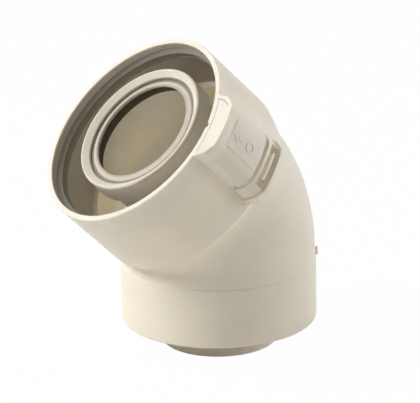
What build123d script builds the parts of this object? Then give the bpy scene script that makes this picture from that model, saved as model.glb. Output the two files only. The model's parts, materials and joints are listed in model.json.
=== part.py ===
"""Concentric 60/100 mm flue elbow, 45 degrees.

An inner flue duct runs inside an outer air duct. Both end in a spigot below
and a socket with a lip seal above. Two spacers hold the flue duct in the
middle of the air duct, and a locking slider runs in a housing on the air socket.

Frame: millimetres. The origin is on the lower leg's axis, level with the air
spigot's edge. +Z runs up the lower leg, and the upper leg leans towards -X in
the XZ plane. The lock housing is on the -Y side.
"""
from build123d import *
import math
import os

# ---------------------------------------------------------------- layout
BEND_ANGLE = 45.0          # turn of the air duct
BEND_THROAT = 4.0          # radius of the bend along the inside of the air duct
LOWER_STRAIGHT = 36.6      # air spigot's edge to the start of the air duct's bend
UPPER_STRAIGHT = 48.9      # end of that bend to the air socket's mouth

# ---------------------------------------------------------------- air duct
AIR_SPIGOT_OD = 100.0
AIR_SPIGOT_LENGTH = 30.0
AIR_STEP = 0.6             # the tube above the spigot is this much lower
AIR_WALL = 2.4             # of the spigot
AIR_LEAD_IN = 0.8          # length of the chamfer on the spigot's end
AIR_SOCKET_PLAY = 0.9      # the socket's mouth clears the next pipe by this
AIR_STOP_PLAY = 0.4        # and its bore behind the seal by this
AIR_SOCKET_WALL = 2.7
AIR_SOCKET_DEPTH = 33.5    # mouth to the stop that the next pipe meets
AIR_RIM_CHAMFER = 0.4

AIR_GROOVE_START = 4.2     # seal groove, from the mouth
AIR_GROOVE_LENGTH = 6.8
AIR_GROOVE_DEPTH = 1.2     # below the socket's mouth

# the socket's wall runs on over the outside of the bend as a low tongue
HOOD_SHIFT = 6.0           # the tongue's axis lies this far to the outside
HOOD_START_DROP = 0.3      # below the socket's surface where it starts
HOOD_REACH = 10.5          # how far it runs past the bend's start
HOOD_STEP = 1.0            # height of its end above the bend
HOOD_BULGE = 0.85          # rise of its line above a straight one

# round nub on the tube, just above the spigot
NUB_DIAMETER = 4.4
NUB_PROUD = 1.6
NUB_CHAMFER = 0.5
NUB_ABOVE_SPIGOT = 2.5     # nub centre above the end of the spigot
NUB_DIRECTION = -32.0      # degrees from +X towards +Y

# ---------------------------------------------------------------- flue duct
FLUE_PROUD = 12.5          # the flue spigot stands out this far below the air spigot
FLUE_BEND_LATER = 1.5      # its bend starts this far above the air duct's
FLUE_MOUTH_SHORT = 1.8     # its straight above the bend is this much shorter
FLUE_LEAN = 1.3            # it turns this many degrees less than the air duct
FLUE_TWIST = 1.5           # and sits turned about the lower leg towards -Y
FLUE_SPIGOT_OD = 60.6
FLUE_SPIGOT_LENGTH = 34.0
FLUE_STEP = 0.4            # the tube above the spigot is this much lower
FLUE_WALL = 2.0            # of the spigot
FLUE_LEAD_IN = 1.2         # length of the chamfer on the spigot's end
FLUE_SOCKET_PLAY = 0.4     # the socket's bore clears the next pipe by this
FLUE_SOCKET_WALL = 2.0
FLUE_STOP_CONE = 2.6       # length of the stop cone between the socket and the bend

BEAD_HEIGHT = 3.1          # bead round the seal, above the socket's wall
BEAD_LENGTH = 11.6
BEAD_RUN_OUT = 2.6         # rear cone of the bead
BEAD_ROUND = 1.1
FUNNEL_WIDTH = 3.8         # funnel at the mouth, wider than the bore by this
FUNNEL_END_WIDTH = 0.7     # and by this at its inner end
FUNNEL_DEPTH = 2.3
FLUE_GROOVE_START = 3.5
FLUE_GROOVE_END = 10.4
FLUE_GROOVE_DEPTH = 3.4    # below the socket's bore
GROOVE_CHAMFER = 0.8

# ---------------------------------------------------------------- seals
SEAL_CLEARANCE = 0.05
SEAL_BASE = 1.1            # thickness of the band that lies in the groove
LIP_THICKNESS = 0.9
LIP_RUN = 2.4              # a lip slopes inwards over this length
LIP_MARGIN = 0.6           # band left behind the second lip's tip
AIR_LIP_SQUEEZE = 1.0      # how far a lip reaches inside the next pipe's surface
FLUE_LIP_SQUEEZE = 1.6

# ---------------------------------------------------------------- lock housing
LOCK_DIRECTION = 18.0      # degrees from -Y towards the outside of the bend
HOUSING_LENGTH = 29.2
HOUSING_ROOF_RISE = 8.8    # roof arc above the socket's wall
HOUSING_ROOF_WIDTH = 22.4
HOUSING_EDGE_WIDTH = 30.6  # where the bevel meets the side wall
HOUSING_EDGE_RISE = 3.0    # height of that edge above the crown of the socket's wall
HOUSING_FOOT_WIDTH = 34.0
HOUSING_FOOT_SUNK = 3.6    # the side walls run this far below that crown
HOUSING_ROOF_CORNER = 3.0  # rounds along the roof's two long edges
HOUSING_EDGE_CORNER = 1.5
HOUSING_WALL = 1.2
FLANGE_PROUD = 0.8         # raised border at the housing's mouth
FLANGE_LENGTH = 2.6
FLANGE_RUN_OUT = 5.0
PLATE_WIDTH = 15.6         # raised plate on the roof
PLATE_START = 6.5
PLATE_PROUD = 0.35
PLATE_CHAMFER = 0.3
RIM_NICK_WIDTH = 2.4       # nick in the rim that marks the lock's middle
RIM_NICK_DEPTH = 1.1
RIM_NICK_LENGTH = 2.0

# ---------------------------------------------------------------- slider
SLIDE_CLEARANCE = 0.3
FRONT_CLEARANCE = 0.1      # the slider's end plate runs closer over the socket
SLIDER_WALL = 1.8
SLIDER_SETBACK = 0.2       # slider's end behind the mouth when locked
SLIDER_TRAVEL = 8.0
STOP_WIDTH = 6.0           # lug on the slider's roof, in a groove under the housing's roof
STOP_LENGTH = 2.4
STOP_PROUD = 0.7
STOP_START = 16.0
GRIP_GAP = 3.5             # housing's end to the grip when locked
GRIP_PITCH = 3.9           # from each of the grip's three ribs to the next
GRIP_RIB_THICKNESS = 1.5
GRIP_POCKET_DEPTH = 3.2    # pocket in the grip's roof, between its two end ribs
GRIP_POCKET_WIDTH = 23.0
GRIP_MIDDLE_WIDTH = 15.0   # the middle rib stands free in the pocket
GRIP_LAST_PROUD = 1.3      # the last rib stands out a little further
HEEL_LENGTH = 5.5          # heel behind the last rib, as low as the pocket
HEEL_CORNER = 4.5

# ---------------------------------------------------------------- spacers
SPACER_BAND = 1.8          # band round the flue duct
SPACER_CLEARANCE = 0.05
SPACER_HEIGHT = 8.0
SPACER_ARM = 2.0
SPACER_FOOT_WIDTH = 15.0
SPACER_FOOT = 1.8
LOWER_SPACER_GAP = 4.0     # its upper end to the start of the air duct's bend
LOWER_SPACER_ARMS = 4
LOWER_SPACER_TURN = 45.0
UPPER_SPACER_GAP = 1.0     # behind the air socket's stop
UPPER_SPACER_ARMS = 3
UPPER_SPACER_TURN = 180.0

# ---------------------------------------------------------------- derived sizes
AIR_TUBE_OD = AIR_SPIGOT_OD - 2 * AIR_STEP
AIR_BORE = AIR_SPIGOT_OD - 2 * AIR_WALL
AIR_SOCKET_BORE = AIR_SPIGOT_OD + 2 * AIR_SOCKET_PLAY
AIR_STOP_BORE = AIR_SPIGOT_OD + 2 * AIR_STOP_PLAY
AIR_SOCKET_OD = AIR_SOCKET_BORE + 2 * AIR_SOCKET_WALL
AIR_GROOVE_OD = AIR_SOCKET_BORE + 2 * AIR_GROOVE_DEPTH
FLUE_TUBE_OD = FLUE_SPIGOT_OD - 2 * FLUE_STEP
FLUE_BORE = FLUE_SPIGOT_OD - 2 * FLUE_WALL
FLUE_SOCKET_BORE = FLUE_SPIGOT_OD + 2 * FLUE_SOCKET_PLAY
FLUE_SOCKET_OD = FLUE_SOCKET_BORE + 2 * FLUE_SOCKET_WALL
FLUE_GROOVE_OD = FLUE_SOCKET_BORE + 2 * FLUE_GROOVE_DEPTH
BEND_RADIUS = BEND_THROAT + AIR_TUBE_OD / 2    # centre line of both bends
FLUE_BEND_ANGLE = BEND_ANGLE - FLUE_LEAN
FLUE_BEND_START = LOWER_STRAIGHT + FLUE_BEND_LATER
FLUE_STRAIGHT = UPPER_STRAIGHT - FLUE_MOUTH_SHORT
FLUE_SOCKET_DEPTH = FLUE_STRAIGHT - FLUE_STOP_CONE    # mouth to the stop cone
SHOULDER_ROUND = (AIR_SOCKET_OD - AIR_TUBE_OD) / 2    # from the socket down to the tube
TUNNEL_FLOOR = AIR_SOCKET_OD / 2


def mouth_plane(angle, twist, bend_start, straight):
    """Plane at a duct's upper mouth: z out of the mouth, x to the outside of the bend."""
    turn, lean = math.radians(twist), math.radians(angle)
    out = Vector(-math.sin(lean) * math.cos(turn), -math.sin(lean) * math.sin(turn),
                 math.cos(lean))
    side = Vector(math.cos(lean) * math.cos(turn), math.cos(lean) * math.sin(turn),
                  math.sin(lean))
    tangent = BEND_RADIUS * math.tan(lean / 2)
    crossing = Vector(0, 0, bend_start + tangent)
    return Plane(origin=crossing + out * (tangent + straight), x_dir=side, z_dir=out)


def lock_plane():
    """Plane at the air socket's mouth: y towards the lock, z out of the mouth."""
    turn = math.radians(LOCK_DIRECTION)
    up = AIR_MOUTH.x_dir * math.sin(turn) + Vector(0, -1, 0) * math.cos(turn)
    return Plane(origin=AIR_MOUTH.origin, x_dir=up.cross(AIR_MOUTH.z_dir),
                 z_dir=AIR_MOUTH.z_dir)


AIR_MOUTH = mouth_plane(BEND_ANGLE, 0, LOWER_STRAIGHT, UPPER_STRAIGHT)
FLUE_MOUTH = mouth_plane(FLUE_BEND_ANGLE, FLUE_TWIST, FLUE_BEND_START, FLUE_STRAIGHT)
LOCK = lock_plane()


# ---------------------------------------------------------------- helpers
def turned(points, rounds=None):
    """Solid of revolution about Z from a closed outline of (radius, height) points.

    rounds maps the index of a point to the radius of its fillet.
    """
    outline = make_face(Polyline(*points, close=True))
    for index, radius in (rounds or {}).items():
        corner = outline.vertices().sort_by_distance((*points[index], 0))[0]
        outline = fillet(corner, radius)
    return revolve(Plane.XZ * outline, axis=Axis.Z)


def ring(outer, inner, low, high):
    """Plain ring about Z between two heights."""
    return turned([(inner, low), (outer, low), (outer, high), (inner, high)])


def bend(radius, start, angle, twist=0.0):
    """Solid bend of a duct that leaves the vertical at the height start."""
    disc = Pos(0, 0, start) * Circle(radius)
    axis = Axis((-BEND_RADIUS, 0, start), (0, -1, 0))
    return Rot(0, 0, twist) * revolve(disc, axis=axis, revolution_arc=angle)


# ---------------------------------------------------------------- lock's cross-section
def lock_outline(grow=0.0):
    """The housing's cross-section on the LOCK plane, grown outwards by grow."""
    roof = TUNNEL_FLOOR + HOUSING_ROOF_RISE + grow
    half_roof = HOUSING_ROOF_WIDTH / 2 + grow * 0.6
    half_edge = HOUSING_EDGE_WIDTH / 2 + grow
    half_foot = HOUSING_FOOT_WIDTH / 2 + grow
    foot = TUNNEL_FLOOR - HOUSING_FOOT_SUNK
    shoulder = math.sqrt(roof ** 2 - half_roof ** 2)
    edge = TUNNEL_FLOOR + HOUSING_EDGE_RISE + grow * 0.4
    walls = Polyline((-half_roof, shoulder), (-half_edge, edge), (-half_foot, foot),
                     (half_foot, foot), (half_edge, edge), (half_roof, shoulder))
    arc = ThreePointArc((half_roof, shoulder), (0, roof), (-half_roof, shoulder))
    face = make_face(walls + arc)
    roof_corners = face.vertices().filter_by(lambda corner: corner.Y > edge + 1)
    face = fillet(roof_corners, HOUSING_ROOF_CORNER)
    edges = face.vertices().filter_by(lambda corner: abs(corner.Y - edge) < 0.01)
    return fillet(edges, HOUSING_EDGE_CORNER)


def lock_block(grow, near, far):
    """The lock's cross-section, drawn out between two depths behind the mouth."""
    return Pos(0, 0, -far) * extrude(lock_outline(grow), far - near)


def core(radius, near, far):
    """Cylinder about the air socket's axis between two depths behind the mouth."""
    return Pos(0, 0, -far) * extrude(Circle(radius), far - near)


# ---------------------------------------------------------------- pieces
def lock_housing():
    """Housing of the slider, solid, on the LOCK plane."""
    flange_end = FLANGE_LENGTH + FLANGE_RUN_OUT
    body = lock_block(0, 0, HOUSING_LENGTH)
    flange = lock_block(FLANGE_PROUD, 0, FLANGE_LENGTH)
    run_out = loft([Pos(0, 0, -flange_end) * lock_outline(0),
                    Pos(0, 0, -FLANGE_LENGTH) * lock_outline(FLANGE_PROUD)], ruled=True)
    roof = TUNNEL_FLOOR + HOUSING_ROOF_RISE
    plate = core(roof + PLATE_PROUD, PLATE_START, HOUSING_LENGTH)
    plate -= core(roof - HOUSING_WALL, PLATE_START, HOUSING_LENGTH)
    plate &= Pos(0, roof, -HOUSING_LENGTH / 2) * Box(PLATE_WIDTH, roof / 2, HOUSING_LENGTH * 2)
    top = plate.faces().sort_by(Axis.Y)[-1]
    plate = chamfer(top.edges(), PLATE_CHAMFER)
    return body + flange + run_out + plate


def tunnel():
    """Room for the slider inside the housing, on the LOCK plane."""
    room = lock_block(-HOUSING_WALL, -1, HOUSING_LENGTH + 1)
    stop_near = STOP_START - SLIDE_CLEARANCE
    stop_far = STOP_START + STOP_LENGTH + SLIDER_TRAVEL + SLIDE_CLEARANCE
    roof = TUNNEL_FLOOR + HOUSING_ROOF_RISE - HOUSING_WALL
    groove = core(roof + STOP_PROUD, stop_near, stop_far)
    groove &= Pos(0, roof, -(stop_near + stop_far) / 2) * Box(
        STOP_WIDTH + 2 * SLIDE_CLEARANCE, roof / 2, stop_far - stop_near)
    return room + groove - core(TUNNEL_FLOOR, -2, HOUSING_LENGTH + 2)


def hood():
    """Tongue of the socket's wall over the outside of the bend, on the AIR_MOUTH plane."""
    start = AIR_SOCKET_OD / 2 - HOOD_START_DROP - HOOD_SHIFT
    crown = math.sqrt((BEND_RADIUS + AIR_TUBE_OD / 2) ** 2 - HOOD_REACH ** 2) - BEND_RADIUS
    end = crown + HOOD_STEP - HOOD_SHIFT
    near = UPPER_STRAIGHT - SHOULDER_ROUND
    far = UPPER_STRAIGHT + HOOD_REACH
    base = Polyline((start, -near), (start, 0), (0, 0), (0, -far), (end, -far))
    line = SagittaArc((end, -far), (start, -near), -HOOD_BULGE)
    return Pos(HOOD_SHIFT, 0, 0) * revolve(Plane.XZ * make_face(base + line), axis=Axis.Z)


def air_socket():
    """Outside of the air socket, solid, on the AIR_MOUTH plane."""
    socket, rim = AIR_SOCKET_OD / 2, AIR_RIM_CHAMFER
    body = turned([(0, -UPPER_STRAIGHT), (socket, -UPPER_STRAIGHT), (socket, -rim),
                   (socket - rim, 0), (0, 0)], {1: SHOULDER_ROUND})
    return body + hood()


def nub():
    """Round nub on the lower leg."""
    outer = AIR_TUBE_OD / 2 + NUB_PROUD
    radius = NUB_DIAMETER / 2
    peg = turned([(0, 0), (radius, 0), (radius, outer - NUB_CHAMFER),
                  (radius - NUB_CHAMFER, outer), (0, outer)])
    height = AIR_SPIGOT_LENGTH + NUB_ABOVE_SPIGOT
    return Rot(0, 0, NUB_DIRECTION) * Pos(0, 0, height) * Rot(0, 90, 0) * peg


def air_passage():
    """Room inside the air duct, with the stop and the seal's groove in its socket."""
    bore, stop = AIR_BORE / 2, AIR_STOP_BORE / 2
    mouth, groove = AIR_SOCKET_BORE / 2, AIR_GROOVE_OD / 2
    groove_end = AIR_GROOVE_START + AIR_GROOVE_LENGTH
    room = turned([(0, -1), (bore, -1), (bore, LOWER_STRAIGHT), (0, LOWER_STRAIGHT)])
    room += bend(bore, LOWER_STRAIGHT, BEND_ANGLE)
    room += AIR_MOUTH * turned([
        (0, -UPPER_STRAIGHT), (bore, -UPPER_STRAIGHT), (bore, -AIR_SOCKET_DEPTH),
        (stop, -AIR_SOCKET_DEPTH), (stop, -groove_end), (groove, -groove_end),
        (groove, -AIR_GROOVE_START), (mouth, -AIR_GROOVE_START), (mouth, 1), (0, 1)])
    return room


def outer_elbow():
    spigot, tube = AIR_SPIGOT_OD / 2, AIR_TUBE_OD / 2
    leg = turned([(0, 0), (spigot - AIR_LEAD_IN / 2, 0), (spigot, AIR_LEAD_IN),
                  (spigot, AIR_SPIGOT_LENGTH), (tube, AIR_SPIGOT_LENGTH + AIR_STEP),
                  (tube, LOWER_STRAIGHT), (0, LOWER_STRAIGHT)])
    solid = leg + bend(tube, LOWER_STRAIGHT, BEND_ANGLE) + AIR_MOUTH * air_socket()
    solid += LOCK * lock_housing()
    solid += nub()
    nick = Pos(0, AIR_SOCKET_BORE / 2, -RIM_NICK_LENGTH / 2) * Box(
        RIM_NICK_WIDTH, 2 * RIM_NICK_DEPTH, RIM_NICK_LENGTH)
    return solid - air_passage() - LOCK * tunnel() - LOCK * nick


def flue_passage():
    """Room inside the flue duct, with the funnel and the seal's groove in its socket."""
    bore, socket, groove = FLUE_BORE / 2, FLUE_SOCKET_BORE / 2, FLUE_GROOVE_OD / 2
    funnel, neck = socket + FUNNEL_WIDTH, socket + FUNNEL_END_WIDTH
    low = -FLUE_PROUD - 1
    room = turned([(0, low), (bore, low), (bore, FLUE_BEND_START), (0, FLUE_BEND_START)])
    room += bend(bore, FLUE_BEND_START, FLUE_BEND_ANGLE, FLUE_TWIST)
    room += FLUE_MOUTH * turned([
        (0, -FLUE_STRAIGHT), (bore, -FLUE_STRAIGHT), (socket, -FLUE_SOCKET_DEPTH),
        (socket, -FLUE_GROOVE_END - GROOVE_CHAMFER),
        (socket + GROOVE_CHAMFER, -FLUE_GROOVE_END), (groove, -FLUE_GROOVE_END),
        (groove, -FLUE_GROOVE_START), (neck, -FLUE_GROOVE_START), (neck, -FUNNEL_DEPTH),
        (funnel, 0), (funnel, 1), (0, 1)])
    return room


def inner_elbow():
    spigot, tube, socket = FLUE_SPIGOT_OD / 2, FLUE_TUBE_OD / 2, FLUE_SOCKET_OD / 2
    bead = socket + BEAD_HEIGHT
    low = -FLUE_PROUD
    step = low + FLUE_SPIGOT_LENGTH
    leg = turned([(0, low), (spigot - FLUE_WALL / 2, low), (spigot, low + FLUE_LEAD_IN),
                  (spigot, step), (tube, step + FLUE_STEP), (tube, FLUE_BEND_START),
                  (0, FLUE_BEND_START)])
    bell = turned([(0, -FLUE_STRAIGHT), (tube, -FLUE_STRAIGHT), (socket, -FLUE_SOCKET_DEPTH),
                   (socket, -BEAD_LENGTH - BEAD_RUN_OUT), (bead, -BEAD_LENGTH), (bead, 0),
                   (0, 0)], {5: BEAD_ROUND})
    solid = leg + bend(tube, FLUE_BEND_START, FLUE_BEND_ANGLE, FLUE_TWIST) + FLUE_MOUTH * bell
    return solid - flue_passage()


def seal(outer, tip, near, far):
    """Lip seal about Z: a band in its groove and two conical lips that lean inwards."""
    inner = outer - SEAL_BASE
    second = far - LIP_MARGIN - LIP_RUN
    points = [(outer, -near), (outer, -far), (inner, -far)]
    for start in (second, near):
        end = start + LIP_RUN
        points += [(inner, -start - LIP_THICKNESS), (tip, -end),
                   (tip, -end + LIP_THICKNESS / 2), (inner, -start)]
    return turned(points)


def air_seal():
    outer = AIR_GROOVE_OD / 2 - SEAL_CLEARANCE
    tip = AIR_SPIGOT_OD / 2 - AIR_LIP_SQUEEZE
    near = AIR_GROOVE_START + SEAL_CLEARANCE
    far = AIR_GROOVE_START + AIR_GROOVE_LENGTH - SEAL_CLEARANCE
    return AIR_MOUTH * seal(outer, tip, near, far)


def flue_seal():
    outer = FLUE_GROOVE_OD / 2 - SEAL_CLEARANCE
    tip = FLUE_SPIGOT_OD / 2 - FLUE_LIP_SQUEEZE
    near, far = FLUE_GROOVE_START + SEAL_CLEARANCE, FLUE_GROOVE_END - SEAL_CLEARANCE
    return FLUE_MOUTH * seal(outer, tip, near, far)


def grip(near):
    """Grip of the slider, solid, on the LOCK plane: three ribs and a heel behind them."""
    roof = TUNNEL_FLOOR + HOUSING_ROOF_RISE
    floor = roof - GRIP_POCKET_DEPTH
    middle, last = near + GRIP_PITCH, near + 2 * GRIP_PITCH
    heel = last + GRIP_RIB_THICKNESS
    tail = heel + HEEL_LENGTH

    pocket = Pos(0, roof, -(near + GRIP_RIB_THICKNESS + last) / 2) * Box(
        GRIP_POCKET_WIDTH, roof, last - near - GRIP_RIB_THICKNESS)
    pocket -= Pos(0, roof, -middle - GRIP_RIB_THICKNESS / 2) * Box(
        GRIP_MIDDLE_WIDTH, roof, GRIP_RIB_THICKNESS)
    pocket -= core(floor, near, last)
    solid = lock_block(0, near, last) - pocket
    solid += lock_block(GRIP_LAST_PROUD, last, heel)

    plan = Plane.XZ * Pos(0, 2 * HEEL_LENGTH - tail) * RectangleRounded(
        HOUSING_FOOT_WIDTH, 4 * HEEL_LENGTH, HEEL_CORNER)
    low_block = lock_block(0, last, tail) & core(floor, last, tail)
    return solid + (low_block & extrude(plan, 2 * roof, both=True))


def lock_slider():
    """Hollow bolt in the housing, with a ribbed grip behind it."""
    fit = HOUSING_WALL + SLIDE_CLEARANCE
    plate_end = SLIDER_SETBACK + SLIDER_WALL
    grip_start = HOUSING_LENGTH + GRIP_GAP
    roof = TUNNEL_FLOOR + HOUSING_ROOF_RISE

    solid = lock_block(-fit, SLIDER_SETBACK, grip_start)
    solid -= lock_block(-fit - SLIDER_WALL, plate_end, grip_start)
    lug = core(roof - fit + STOP_PROUD, STOP_START, STOP_START + STOP_LENGTH)
    lug -= core(roof - fit - SLIDER_WALL / 2, STOP_START, STOP_START + STOP_LENGTH)
    solid += lug & Pos(0, roof, -STOP_START) * Box(STOP_WIDTH, roof, 4 * STOP_LENGTH)
    solid += grip(grip_start)
    solid -= core(TUNNEL_FLOOR + FRONT_CLEARANCE, -1, plate_end)
    solid -= core(TUNNEL_FLOOR + SLIDE_CLEARANCE, plate_end, 2 * grip_start)
    return LOCK * solid


def spacer(hub_plane, hub_od, bore_plane, low, arms, turn):
    """Spacer: a band on the flue duct, with arms and feet out to the air duct's bore.

    low is the height of the spacer's lower end in both planes.
    """
    hub = hub_od / 2 + SPACER_CLEARANCE
    reach = AIR_BORE / 2 - SPACER_CLEARANCE
    high = low + SPACER_HEIGHT
    pads = ring(reach, reach - SPACER_FOOT, low, high)
    arm_length = reach - SPACER_FOOT / 2 - hub
    solid = hub_plane * ring(hub + SPACER_BAND, hub, low, high)
    for index in range(arms):
        aim = Rot(0, 0, turn + 360 * index / arms)
        foot = Pos(reach, 0, low + SPACER_HEIGHT / 2) * Box(
            reach, SPACER_FOOT_WIDTH, SPACER_HEIGHT)
        arm = Pos(hub + arm_length / 2, 0, low + SPACER_HEIGHT / 2) * Box(
            arm_length, SPACER_ARM, SPACER_HEIGHT)
        solid += bore_plane * (pads & aim * foot)
        solid += bore_plane * (aim * arm)
    room = Cylinder(hub, 3 * SPACER_HEIGHT)
    return solid - hub_plane * Pos(0, 0, low + SPACER_HEIGHT / 2) * room


def lower_spacer():
    low = LOWER_STRAIGHT - LOWER_SPACER_GAP - SPACER_HEIGHT
    return spacer(Plane.XY, FLUE_TUBE_OD, Plane.XY, low, LOWER_SPACER_ARMS, LOWER_SPACER_TURN)


def upper_spacer():
    low = -AIR_SOCKET_DEPTH - UPPER_SPACER_GAP - SPACER_HEIGHT
    return spacer(FLUE_MOUTH, FLUE_SOCKET_OD, AIR_MOUTH, low, UPPER_SPACER_ARMS,
                  UPPER_SPACER_TURN)


os.makedirs("parts", exist_ok=True)
for make in (outer_elbow, inner_elbow, air_seal, flue_seal, lock_slider, lower_spacer,
             upper_spacer):
    export_step(make(), f"parts/{make.__name__}.step")
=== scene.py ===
"""Looks of the flue elbow: camera, lamps, a pale floor, moulded plastics and seal rubbers.

The script also replaces the flue seal by one whose front lip reaches further in, and raises two
plain marks on the lock's plate.
"""

import json
import math
from collections import namedtuple

import bmesh
import bpy
from mathutils import Matrix, Vector


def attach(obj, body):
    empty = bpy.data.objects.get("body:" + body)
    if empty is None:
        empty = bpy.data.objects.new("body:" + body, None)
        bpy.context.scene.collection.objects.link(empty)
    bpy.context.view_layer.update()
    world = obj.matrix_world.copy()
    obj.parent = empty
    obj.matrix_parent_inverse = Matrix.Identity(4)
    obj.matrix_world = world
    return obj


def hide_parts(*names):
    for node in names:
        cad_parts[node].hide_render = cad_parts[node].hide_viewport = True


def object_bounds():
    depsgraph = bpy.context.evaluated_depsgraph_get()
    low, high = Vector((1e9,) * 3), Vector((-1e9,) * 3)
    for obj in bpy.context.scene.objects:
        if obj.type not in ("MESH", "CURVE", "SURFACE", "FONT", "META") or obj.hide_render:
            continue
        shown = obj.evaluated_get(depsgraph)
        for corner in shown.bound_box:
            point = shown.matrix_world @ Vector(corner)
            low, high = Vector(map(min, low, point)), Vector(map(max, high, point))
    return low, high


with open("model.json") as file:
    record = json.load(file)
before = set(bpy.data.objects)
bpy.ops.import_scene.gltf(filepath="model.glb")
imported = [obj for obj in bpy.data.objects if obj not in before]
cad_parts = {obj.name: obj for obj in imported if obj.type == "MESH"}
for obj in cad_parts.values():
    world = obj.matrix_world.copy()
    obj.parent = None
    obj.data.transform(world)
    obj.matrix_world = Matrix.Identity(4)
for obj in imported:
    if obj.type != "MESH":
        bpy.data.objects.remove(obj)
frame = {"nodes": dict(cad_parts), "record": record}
cad_low, cad_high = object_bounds()
nodes = frame["nodes"]

MM_PER_METRE = 1000
WHITE = (1, 1, 1, 1)


def direction(azimuth, elevation):
    """Unit vector, turned from +X towards +Y by one angle and raised by the other."""
    return Vector((math.cos(elevation) * math.cos(azimuth),
                   math.cos(elevation) * math.sin(azimuth),
                   math.sin(elevation)))


def new_object(name, data):
    """Object with this data, linked into the scene."""
    made = bpy.data.objects.new(name, data)
    bpy.context.scene.collection.objects.link(made)
    return made


# ---------------------------------------------------------------- camera
CAMERA_PLACE = Vector((-0.76044, -1.09247, 0.50257))
CAMERA_YAW = math.radians(55.319)       # from +X towards +Y
CAMERA_PITCH = math.radians(18.366)     # downwards
CAMERA_ROLL = math.radians(-1.125)
LENS_MM = 236.67
SENSOR_MM = 36.0


def make_camera():
    """Camera that looks along its yaw and down by its pitch, rolled about that line."""
    data = bpy.data.cameras.new("camera")
    data.lens = LENS_MM
    data.sensor_width = SENSOR_MM
    camera = new_object("camera", data)
    forward = direction(CAMERA_YAW, -CAMERA_PITCH)
    level = Vector((math.sin(CAMERA_YAW), -math.cos(CAMERA_YAW), 0))
    above = level.cross(forward)
    right = level * math.cos(CAMERA_ROLL) + above * math.sin(CAMERA_ROLL)
    up = above * math.cos(CAMERA_ROLL) - level * math.sin(CAMERA_ROLL)
    turn = Matrix((right, up, -forward)).transposed()
    camera.matrix_world = Matrix.Translation(CAMERA_PLACE) @ turn.to_4x4()
    bpy.context.scene.camera = camera


make_camera()
bpy.context.scene.view_settings.view_transform = "Standard"

# ---------------------------------------------------------------- lamps
LAMP_DISTANCE = 1.5
LAMP_WIDTH = 0.6
PLAIN = (1.0, 1.0, 1.0)
WARM = (1.0, 0.97, 0.89)
# name, degrees from +X towards +Y, degrees above the floor, watts, colour
LAMPS = [
    ("key", 152, 38, 16.8, PLAIN),
    ("top", 105, 60, 4.3, PLAIN),
    ("front_fill", 330, 12, 7.4, PLAIN),
    ("side_fill", 0, 14, 4.0, PLAIN),
    ("near_fill", 236, 22, 2.5, WARM),
]


def studio_lamp(name, azimuth, elevation, watts, colour):
    """Round soft lamp that looks at the middle of the part."""
    middle = (cad_low + cad_high) / 2
    out = direction(math.radians(azimuth), math.radians(elevation))
    data = bpy.data.lights.new(name, "AREA")
    data.shape = "DISK"
    data.size = LAMP_WIDTH
    data.energy = watts
    data.color = colour
    lamp = new_object(name, data)
    lamp.location = middle + out * LAMP_DISTANCE
    lamp.rotation_mode = "QUATERNION"
    lamp.rotation_quaternion = (-out).to_track_quat("-Z", "Y")


for lamp_values in LAMPS:
    studio_lamp(*lamp_values)


# ---------------------------------------------------------------- shader arithmetic
def math_node(tree, operation, first, second):
    """Result of a math node; each of its two inputs is a socket or a number."""
    node = tree.nodes.new("ShaderNodeMath")
    node.operation = operation
    for slot, value in zip(node.inputs, (first, second)):
        if isinstance(value, (int, float)):
            slot.default_value = value
        else:
            tree.links.new(value, slot)
    return node.outputs[0]


def vector_node(tree, operation, vector, constant=(0, 0, 0)):
    """Vector math node that takes a socket and a constant vector."""
    node = tree.nodes.new("ShaderNodeVectorMath")
    node.operation = operation
    node.inputs[1].default_value = constant
    tree.links.new(vector, node.inputs[0])
    return node


# ---------------------------------------------------------------- white studio
WORLD_LIGHT = 0.04          # what the world adds to the lamps
STUDIO_WHITE = 1.0          # what it shows to the rays of seen_directly
FLOOR_SIZE = 6.0
FLOOR_COLOUR = (0.86, 0.845, 0.81, 1)
FLOOR_ROUGHNESS = 0.9
FLOOR_GLOW = 0.985          # share of plain white in the floor for the same rays


def seen_directly(tree):
    """1 for camera, glossy and transmission rays, which see the white studio, otherwise 0."""
    path = tree.nodes.new("ShaderNodeLightPath")
    seen = path.outputs["Is Camera Ray"]
    for name in ("Is Glossy Ray", "Is Transmission Ray"):
        seen = math_node(tree, "MAXIMUM", seen, path.outputs[name])
    return seen


def background(tree, strength):
    """White background shader of this strength."""
    node = tree.nodes.new("ShaderNodeBackground")
    node.inputs["Color"].default_value = WHITE
    node.inputs["Strength"].default_value = strength
    return node


def mix_onto(tree, share, first, second, surface):
    """Put a mix of two shaders onto the surface; the share is the second one's."""
    mix = tree.nodes.new("ShaderNodeMixShader")
    tree.links.new(share, mix.inputs["Fac"])
    tree.links.new(first.outputs[0], mix.inputs[1])
    tree.links.new(second.outputs[0], mix.inputs[2])
    tree.links.new(mix.outputs[0], surface)


def make_world():
    """World that is plain white where it is seen, and only a faint light otherwise."""
    world = bpy.data.worlds.new("world")
    bpy.context.scene.world = world
    world.use_nodes = True
    tree = world.node_tree
    tree.nodes.clear()
    light = background(tree, WORLD_LIGHT)
    white = background(tree, STUDIO_WHITE)
    out = tree.nodes.new("ShaderNodeOutputWorld")
    mix_onto(tree, seen_directly(tree), light, white, out.inputs["Surface"])


def floor_material():
    """Matte cream that reflects light onto the part, but nearly plain white to the camera."""
    material = bpy.data.materials.new("floor")
    material.use_nodes = True
    tree = material.node_tree
    matte = tree.nodes["Principled BSDF"]
    matte.inputs["Base Color"].default_value = FLOOR_COLOUR
    matte.inputs["Roughness"].default_value = FLOOR_ROUGHNESS
    matte.inputs["Specular IOR Level"].default_value = 0.0
    glow = tree.nodes.new("ShaderNodeEmission")
    glow.inputs["Color"].default_value = WHITE
    share = math_node(tree, "MULTIPLY", seen_directly(tree), FLOOR_GLOW)
    mix_onto(tree, share, matte, glow, tree.nodes["Material Output"].inputs["Surface"])
    return material


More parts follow.
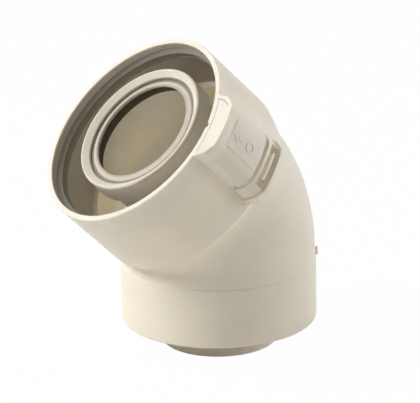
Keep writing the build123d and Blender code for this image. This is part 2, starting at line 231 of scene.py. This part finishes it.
def make_floor():
    """Square floor at the height of the part's lowest point."""
    half = FLOOR_SIZE / 2
    corners = [(-half, -half, 0), (half, -half, 0), (half, half, 0), (-half, half, 0)]
    mesh = bpy.data.meshes.new("floor")
    mesh.from_pydata(corners, [], [(0, 1, 2, 3)])
    mesh.materials.append(floor_material())
    floor = new_object("floor", mesh)
    floor.location = (0, 0, cad_low.z)


make_world()
make_floor()

# ---------------------------------------------------------------- plastic and rubber
NOISE_LOW = 0.3             # most values of a noise texture lie between these two
NOISE_HIGH = 0.7
FLOW_WAVES = 38.0           # waves per metre of the faint marks in the colour
SHEEN_WAVES = 130.0         # and of the uneven sheen
SHEEN_SPREAD = 0.06         # how far the roughness strays to either side
GRAIN_STRENGTH = 0.35
REFRACTION = 1.49           # as polypropylene has
SPECULAR_LEVEL = 0.3
GLOW_WEIGHT = 0.25          # share of the light that goes into the walls
GLOW_DEPTH = 0.004          # how far it spreads there, in metres
GLOW_RADIUS = (1.0, 0.82, 0.55)
WARM_WHITE = (0.95, 0.87, 0.74)


def noise(tree, place, waves, detail, roughness):
    """Noise over the object's own coordinates, with so many waves per metre."""
    texture = tree.nodes.new("ShaderNodeTexNoise")
    texture.inputs["Scale"].default_value = waves
    texture.inputs["Detail"].default_value = detail
    texture.inputs["Roughness"].default_value = roughness
    tree.links.new(place, texture.inputs["Vector"])
    return texture.outputs["Fac"]


def spread(tree, value, low, high):
    """Map a noise value's usual range onto low to high."""
    stretch = tree.nodes.new("ShaderNodeMapRange")
    stretch.inputs["From Min"].default_value = NOISE_LOW
    stretch.inputs["From Max"].default_value = NOISE_HIGH
    stretch.inputs["To Min"].default_value = low
    stretch.inputs["To Max"].default_value = high
    tree.links.new(value, stretch.inputs["Value"])
    return stretch.outputs["Result"]


def flow_marks(tree, place, colour, mottle):
    """The colour, darker and lighter by the mottle's share in broad patches."""
    tint = tree.nodes.new("ShaderNodeMix")
    tint.data_type = "RGBA"
    tint.inputs["A"].default_value = (*[part * (1 - mottle) for part in colour], 1)
    tint.inputs["B"].default_value = (*[min(1, part * (1 + mottle)) for part in colour], 1)
    marks = noise(tree, place, FLOW_WAVES, detail=4.0, roughness=0.5)
    tree.links.new(spread(tree, marks, 0, 1), tint.inputs["Factor"])
    return tint.outputs["Result"]


def uneven_sheen(tree, place, roughness):
    """The roughness, a little lower and higher from place to place."""
    sheen = noise(tree, place, SHEEN_WAVES, detail=3.0, roughness=0.6)
    return spread(tree, sheen, roughness - SHEEN_SPREAD, roughness + SHEEN_SPREAD)


def fine_grain(tree, place, waves, depth):
    """Normal of a surface with a fine grain, its depth in metres."""
    bump = tree.nodes.new("ShaderNodeBump")
    bump.inputs["Strength"].default_value = GRAIN_STRENGTH
    bump.inputs["Distance"].default_value = depth
    grain = noise(tree, place, waves, detail=3.0, roughness=0.55)
    tree.links.new(grain, bump.inputs["Height"])
    return bump.outputs["Normal"]


def plastic(name, colour, roughness, grain=1400.0, depth=0.00003, mottle=0.03):
    """Moulded plastic that lets some light into its walls."""
    material = bpy.data.materials.new(name)
    material.use_nodes = True
    tree = material.node_tree
    shader = tree.nodes["Principled BSDF"]
    place = tree.nodes.new("ShaderNodeTexCoord").outputs["Object"]
    tree.links.new(flow_marks(tree, place, colour, mottle), shader.inputs["Base Color"])
    tree.links.new(uneven_sheen(tree, place, roughness), shader.inputs["Roughness"])
    tree.links.new(fine_grain(tree, place, grain, depth), shader.inputs["Normal"])
    shader.inputs["IOR"].default_value = REFRACTION
    shader.inputs["Specular IOR Level"].default_value = SPECULAR_LEVEL
    shader.inputs["Subsurface Weight"].default_value = GLOW_WEIGHT
    shader.inputs["Subsurface Radius"].default_value = GLOW_RADIUS
    shader.inputs["Subsurface Scale"].default_value = GLOW_DEPTH
    return material


def rubber(name, colour):
    """Matte seal rubber, with a finer and deeper grain than the plastics have."""
    return plastic(name, colour, roughness=0.6, grain=2200.0, depth=0.00004, mottle=0.05)


# ---------------------------------------------------------------- zones of both sockets
def mount_place(name):
    """Middle of a mount and its direction outwards."""
    mount = next(mount for mount in frame["record"]["mounts"] if mount["name"] == name)
    return Vector(mount["pos_m"]), Vector(mount["axis"])


AIR_MOUTH, AIR_AXIS = mount_place("air_socket")
FLUE_MOUTH, FLUE_AXIS = mount_place("flue_socket")

# part of a piece between two radii about a socket's axis and two heights over its mouth, in metres
Zone = namedtuple("Zone", "mouth axis inner outer low high")

AIR_RIM = -0.0008           # height of the lower edge of the air socket's light rim
AIR_STOP = -0.0333          # just short of the step that stops the next pipe
AIR_BEND = -0.062           # some way into the bend
FACE_EDGE = -0.0020         # just above the inner end of the flue socket's funnel
LIP_BACK = -0.0042          # back of the flue seal's front lip
GROOVE_BACK = -0.0105       # just past the flue seal and its groove
FLUE_BEND = -0.11           # past the bend
CLEAR_HEIGHT = 0.02         # above all of the flue socket

AIR_GROOVE = 0.0522         # radius just outside the floor of the air seal's groove
AIR_LINING = 0.0482         # just outside the inner face of the air duct
FUNNEL = 0.0325             # of the funnel's mouth
FLUE_LINING = 0.0308        # just outside the flue socket's bore
CREST_START = 0.0279        # where the front lip's painted highlight starts
CREST_END = 0.0294          # and ends
FOOT_START = 0.0298         # where the lip's foot starts
CLEAR_RADIUS = 0.06         # outside all of the flue socket

AIR_SOCKET_PAINTED_SHADE = Zone(AIR_MOUTH, AIR_AXIS, 0.0, AIR_GROOVE, AIR_STOP, AIR_RIM)
AIR_DUCT = Zone(AIR_MOUTH, AIR_AXIS, 0.0, AIR_LINING, AIR_BEND, AIR_STOP)
FLUE_FACE = Zone(FLUE_MOUTH, FLUE_AXIS, 0.0, CLEAR_RADIUS, FACE_EDGE, CLEAR_HEIGHT)
FUNNEL_PAINTED_SHADE = Zone(FLUE_MOUTH, FLUE_AXIS, 0.0, FUNNEL, GROOVE_BACK, FACE_EDGE)
FLUE_DUCT = Zone(FLUE_MOUTH, FLUE_AXIS, 0.0, FLUE_LINING, FLUE_BEND, GROOVE_BACK)
SEAL_BACK_PAINTED_SHADE = Zone(FLUE_MOUTH, FLUE_AXIS, 0.0, CLEAR_RADIUS, GROOVE_BACK, LIP_BACK)
CREST_PAINTED_HIGHLIGHT = Zone(FLUE_MOUTH, FLUE_AXIS, CREST_START, CREST_END, LIP_BACK, 0.0)
FOOT_PAINTED_SHADE = Zone(FLUE_MOUTH, FLUE_AXIS, FOOT_START, CLEAR_RADIUS, LIP_BACK, 0.0)


def zone_mask(tree, zone):
    """1 inside the zone, elsewhere 0."""
    place = tree.nodes.new("ShaderNodeTexCoord").outputs["Object"]
    offset = vector_node(tree, "SUBTRACT", place, zone.mouth).outputs["Vector"]
    height = vector_node(tree, "DOT_PRODUCT", offset, zone.axis).outputs["Value"]
    distance = vector_node(tree, "LENGTH", offset).outputs["Value"]
    radius_squared = math_node(tree, "SUBTRACT", math_node(tree, "MULTIPLY", distance, distance),
                               math_node(tree, "MULTIPLY", height, height))
    mask = math_node(tree, "LESS_THAN", radius_squared, zone.outer ** 2)
    for operation, value, limit in (("GREATER_THAN", radius_squared, zone.inner ** 2),
                                    ("GREATER_THAN", height, zone.low),
                                    ("LESS_THAN", height, zone.high)):
        mask = math_node(tree, "MULTIPLY", mask, math_node(tree, operation, value, limit))
    return mask


def shade_zone(material, zone, share):
    """Multiply the material's colour by a share inside the zone."""
    tree = material.node_tree
    shader = tree.nodes["Principled BSDF"]
    shade = tree.nodes.new("ShaderNodeMix")
    shade.data_type = "RGBA"
    shade.blend_type = "MULTIPLY"
    shade.inputs["B"].default_value = (*share, 1)
    tree.links.new(zone_mask(tree, zone), shade.inputs["Factor"])
    tree.links.new(shader.inputs["Base Color"].links[0].from_socket, shade.inputs["A"])
    tree.links.new(shade.outputs["Result"], shader.inputs["Base Color"])


def glow_zone(material, zone, weight, depth):
    """Let more light through the wall inside the zone; the depth is in metres."""
    tree = material.node_tree
    shader = tree.nodes["Principled BSDF"]
    mask = zone_mask(tree, zone)
    for name, inside in (("Subsurface Weight", weight), ("Subsurface Scale", depth)):
        target = shader.inputs[name]
        mix = tree.nodes.new("ShaderNodeMix")
        mix.inputs["A"].default_value = target.default_value
        mix.inputs["B"].default_value = inside
        tree.links.new(mask, mix.inputs["Factor"])
        tree.links.new(mix.outputs["Result"], target)


# ---------------------------------------------------------------- material of each piece
def outer_plastic():
    """Painted shade in the air socket's bore; past it a painted light, a warmer tint, and light let
    through the wall.
    """
    material = plastic("white_plastic", WARM_WHITE, roughness=0.46)
    # painted shade: the air socket's bore darker and greyer, where shade falls inside it
    shade_zone(material, AIR_SOCKET_PAINTED_SHADE, share=(0.58, 0.59, 0.60))
    # painted light: past the stop a warmer, slightly brighter tint, as if lit through the wall
    shade_zone(material, AIR_DUCT, share=(1.02, 0.98, 0.99))
    glow_zone(material, AIR_DUCT, weight=1.0, depth=0.022)
    return material


def duct_plastic():
    """Greyer at the flue socket's face, painted shade at the funnel's end before the seal, and past
    the seal a painted light, a slightly brighter colour, and light let through the wall.
    """
    material = plastic("duct_plastic", WARM_WHITE, roughness=0.48)
    shade_zone(material, FLUE_FACE, share=(0.85, 0.86, 0.86))
    # painted shade: the funnel's end and the land before the seal dark, where shade falls
    shade_zone(material, FUNNEL_PAINTED_SHADE, share=(0.42, 0.41, 0.37))
    # painted light: the flue bore past the seal a little brighter
    shade_zone(material, FLUE_DUCT, share=(1.02, 1.02, 1.02))
    glow_zone(material, FLUE_DUCT, weight=0.6, depth=0.004)
    return material


def flue_seal_rubber():
    """Painted highlight along the front lip's crest, painted shade at its foot, and the darkest
    painted shade behind it.
    """
    material = rubber("flue_seal_rubber", (0.50, 0.46, 0.39))
    # painted shade: the seal's back lip and band very dark, as the groove behind the front lip lies
    # in shade
    shade_zone(material, SEAL_BACK_PAINTED_SHADE, share=(0.18, 0.17, 0.13))
    # painted highlight: the front lip's crest lighter
    shade_zone(material, CREST_PAINTED_HIGHLIGHT, share=(1.4, 1.4, 1.4))
    # painted shade: the front lip's foot darker
    shade_zone(material, FOOT_PAINTED_SHADE, share=(0.6, 0.6, 0.55))
    return material


MATERIALS = {
    "outer_elbow": outer_plastic(),
    "inner_elbow": duct_plastic(),
    "lock_slider": plastic("slider_plastic", (0.95, 0.88, 0.76), roughness=0.42),
    "air_seal": rubber("air_seal_rubber", (0.30, 0.28, 0.23)),
    "flue_seal": flue_seal_rubber(),
    "lower_spacer": plastic("spacer_plastic", (0.90, 0.83, 0.70), roughness=0.5),
}
MATERIALS["upper_spacer"] = MATERIALS["lower_spacer"]

for node_name, node in nodes.items():
    node.data.materials.clear()
    node.data.materials.append(MATERIALS[node_name])


def finished_object(name, mesh, material):
    """Object made of a closed bmesh, with its faces turned outwards."""
    bmesh.ops.recalc_face_normals(mesh, faces=mesh.faces)
    data = bpy.data.meshes.new(name)
    mesh.to_mesh(data)
    mesh.free()
    data.materials.append(material)
    return new_object(name, data)


# ---------------------------------------------------------------- flue seal with a longer front lip
# radius and height over the flue mouth, in millimetres
SEAL_OUTSIDE = 34.05        # the seal stands 0.05 clear of its groove on all sides
SEAL_TOP = -3.55
SEAL_END = -10.35
BAND_INSIDE = 32.95         # inner face of the band that lies in the groove
REAR_LIP = [(29.2, -9.9), (28.7, -9.6), (28.9, -9.0)]
FRONT_LIP = [(30.4, -5.3), (27.4, -4.3), (26.8, -3.7), (26.6, -3.0), (26.7, -2.4), (27.1, -2.1),
             (27.7, -2.15), (29.2, -2.9), (30.6, SEAL_TOP)]
SEAL_PROFILE = [
    (SEAL_OUTSIDE, SEAL_TOP), (SEAL_OUTSIDE, SEAL_END), (BAND_INSIDE, SEAL_END),
    (BAND_INSIDE, -9.2), *REAR_LIP, (BAND_INSIDE, -7.4),
    (BAND_INSIDE, -5.6), *FRONT_LIP,
]
SEAL_STEPS = 160


def seal_point(out, radius, height):
    """Point of the seal's profile, turned about the flue socket's axis to the direction out."""
    return FLUE_MOUTH + out * (radius / MM_PER_METRE) + FLUE_AXIS * (height / MM_PER_METRE)


def turned_seal(name):
    """Ring with the seal's profile, turned about the flue socket's axis."""
    side = FLUE_AXIS.cross(Vector((0, 1, 0))).normalized()
    across = FLUE_AXIS.cross(side)
    mesh = bmesh.new()
    rings = []
    for step in range(SEAL_STEPS):
        turn = 2 * math.pi * step / SEAL_STEPS
        out = side * math.cos(turn) + across * math.sin(turn)
        rings.append([mesh.verts.new(seal_point(out, *point)) for point in SEAL_PROFILE])
    count = len(SEAL_PROFILE)
    for here, there in zip(rings, rings[1:] + rings[:1]):
        for step in range(count):
            after = (step + 1) % count
            face = mesh.faces.new((here[step], here[after], there[after], there[step]))
            face.smooth = True
    seal = finished_object(name, mesh, MATERIALS["flue_seal"])
    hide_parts("flue_seal")
    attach(seal, "elbow")


turned_seal("flue_lip_seal")

# ---------------------------------------------------------------- raised marks on the lock's plate
LOCK_TURN = math.radians(18.0)      # from -Y towards the outside of the bend
BEND_OUTSIDE = Vector((0, 1, 0)).cross(AIR_AXIS)
LOCK_UP = BEND_OUTSIDE * math.sin(LOCK_TURN) - Vector((0, 1, 0)) * math.cos(LOCK_TURN)
LOCK_SIDE = LOCK_UP.cross(AIR_AXIS)
PLATE_RADIUS = 0.06275              # of the plate's top, about the air socket's axis
MARK_SUNK = 0.0002                  # a mark reaches from this far under the plate's top
MARK_PROUD = 0.00025                # to this far above it
MARK_BEVEL = 0.0001
MARK_BEVEL_STEPS = 2
# millimetres across the plate and from the mouth
ARROW = [(0.0, -8.0), (3.2, -11.6), (1.2, -11.6), (1.2, -15.0), (-1.2, -15.0), (-1.2, -11.6),
         (-3.2, -11.6)]
RING_PLACE = -21.0
RING_OUTER = 3.0
RING_INNER = 1.8
RING_STEPS = 40


def plate_point(across, along, rise):
    """Point over the plate's curved top; across and along in millimetres, rise in metres."""
    turn = across / MM_PER_METRE / PLATE_RADIUS
    out = LOCK_UP * math.cos(turn) + LOCK_SIDE * math.sin(turn)
    return AIR_MOUTH + AIR_AXIS * (along / MM_PER_METRE) + out * (PLATE_RADIUS + rise)


def mark_level(mesh, outlines, rise):
    """Vertices of the outlines at one height over the plate's top."""
    return [[mesh.verts.new(plate_point(*point, rise)) for point in outline]
            for outline in outlines]


def raised_mark(name, outlines):
    """Low solid over a closed strip between two outlines, or over one outline alone."""
    mesh = bmesh.new()
    levels = [mark_level(mesh, outlines, rise) for rise in (-MARK_SUNK, MARK_PROUD)]
    count = len(outlines[0])
    for step in range(count):
        after = (step + 1) % count
        for low, high in zip(*levels):
            mesh.faces.new((low[step], low[after], high[after], high[step]))
        if len(outlines) == 2:
            for outer, inner in levels:
                mesh.faces.new((outer[step], outer[after], inner[after], inner[step]))
    if len(outlines) == 1:
        for level in levels:
            mesh.faces.new(level[0])
    mark = finished_object(name, mesh, MATERIALS["outer_elbow"])
    soften = mark.modifiers.new("edges", "BEVEL")
    soften.width = MARK_BEVEL
    soften.segments = MARK_BEVEL_STEPS
    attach(mark, "elbow")


def circle(radius):
    """Points of a circle about the ring's middle."""
    turns = [2 * math.pi * step / RING_STEPS for step in range(RING_STEPS)]
    return [(radius * math.cos(turn), RING_PLACE + radius * math.sin(turn)) for turn in turns]


raised_mark("lock_arrow", [ARROW])
raised_mark("lock_ring", [circle(RING_OUTER), circle(RING_INNER)])
